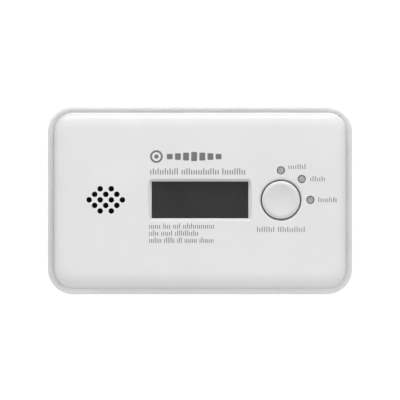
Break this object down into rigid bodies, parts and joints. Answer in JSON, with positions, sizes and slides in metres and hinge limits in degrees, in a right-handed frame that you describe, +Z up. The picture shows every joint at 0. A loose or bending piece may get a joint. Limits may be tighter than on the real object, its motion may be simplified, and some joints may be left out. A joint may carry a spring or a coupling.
{
  "type": "carbon monoxide alarm",
  "caption": "Battery carbon monoxide alarm in a shallow white rounded case, with a dark display window, a round test button, indicator lights and a sounder grille.",
  "frame": {"origin": "middle of the bounding box's bottom face; the case's flat lower side is at z = 0 and the bounding box runs from the button's face to the wall bracket's rear face", "axes": "+X to the right of someone facing the front, +Y from the front towards the wall, +Z up"},
  "size_m": [0.12, 0.036, 0.074],
  "materials": {
    "white_shell": "white ABS with a fine satin texture",
    "button_white": "white ABS, satin",
    "smoked_lens": "dark smoked acrylic",
    "clear_pipe": "frosted clear acrylic",
    "display_glass": "liquid crystal glass, unlit",
    "diffuser": "milky white plastic",
    "black_plastic": "black moulded plastic",
    "board_green": "glass-fibre circuit board with green solder mask",
    "rubber_black": "black rubber or sleeving",
    "led_white": "white package with a pale phosphor",
    "brass": "rolled brass disc",
    "ceramic": "silvered piezo ceramic",
    "steel": "nickel-plated steel",
    "aluminium": "drawn aluminium can",
    "cell_sleeve": null,
    "felt": "black felt or mesh",
    "lead_red": "red wire insulation",
    "label": "blank adhesive label"
  },
  "bodies": {
    "case": {"front_cover": "white_shell", "rear_housing": "white_shell", "case_screw_1": "steel", "case_screw_2": "steel", "case_screw_3": "steel", "case_screw_4": "steel", "rating_label": "label", "display_lens": "smoked_lens", "lcd_glass": "display_glass", "lcd_frame": "black_plastic", "lcd_diffuser": "diffuser", "lcd_contact_strip": "rubber_black", "switch_body": "black_plastic", "light_pipe_alarm": "clear_pipe", "light_pipe_fault": "clear_pipe", "light_pipe_power": "clear_pipe", "led_alarm": "led_white", "led_fault": "led_white", "led_power": "led_white", "sounder_chamber": "black_plastic", "sounder_disc": "brass", "sounder_ceramic": "ceramic", "sounder_clamp_ring": "black_plastic", "sounder_screen": "felt", "sounder_lead_red": "lead_red", "sounder_lead_black": "rubber_black", "main_board": "board_green", "board_screw_1": "steel", "board_screw_2": "steel", "board_screw_3": "steel", "board_screw_4": "steel", "microcontroller": "black_plastic", "voltage_regulator": "black_plastic", "quartz_crystal": "steel", "chip_resistor_1": "ceramic", "chip_resistor_2": "ceramic", "chip_capacitor_1": "ceramic", "chip_capacitor_2": "ceramic", "programming_header": "black_plastic", "storage_capacitor": "aluminium", "boost_coil": "rubber_black", "sensor_base": "black_plastic", "sensor_can": "steel", "sensor_reservoir": "diffuser", "sensor_cell": "rubber_black", "sensor_cap": "black_plastic", "sensor_filter": "felt", "battery_1": "cell_sleeve", "battery_2": "cell_sleeve", "bridge_contact": "steel", "bridge_spring": "steel", "positive_contact": "steel", "negative_contact": "steel", "negative_spring": "steel"},
    "test_button": {"test_button": "button_white"},
    "switch_plunger": {"switch_plunger": "black_plastic"},
    "battery_door": {"battery_door": "white_shell"},
    "wall_bracket": {"wall_bracket": "white_shell"}
  },
  "joints": [
    {"name": "test_button_press", "type": "slide", "parent": "case", "child": "test_button", "axis": [0, 1, 0], "range_m": [0, 0.0006], "stiffness_N_per_m": 1600, "springref_m": -0.0004},
    {"name": "switch_plunger_press", "type": "slide", "parent": "case", "child": "switch_plunger", "axis": [0, 1, 0], "range_m": [0, 0.0006]},
    {"name": "battery_door_hinge", "type": "hinge", "parent": "case", "child": "battery_door", "pos_m": [-0.0305, 0.016, 0.0214], "axis": [0, 0, 1], "range_deg": [0, 75]},
    {"name": "wall_bracket_slide", "type": "slide", "parent": "case", "child": "wall_bracket", "axis": [0, 0, -1], "range_m": [0, 0.0055]}
  ],
  "couplings": [
    {"joint": "switch_plunger_press", "follows": "test_button_press", "ratio": 1}
  ]
}
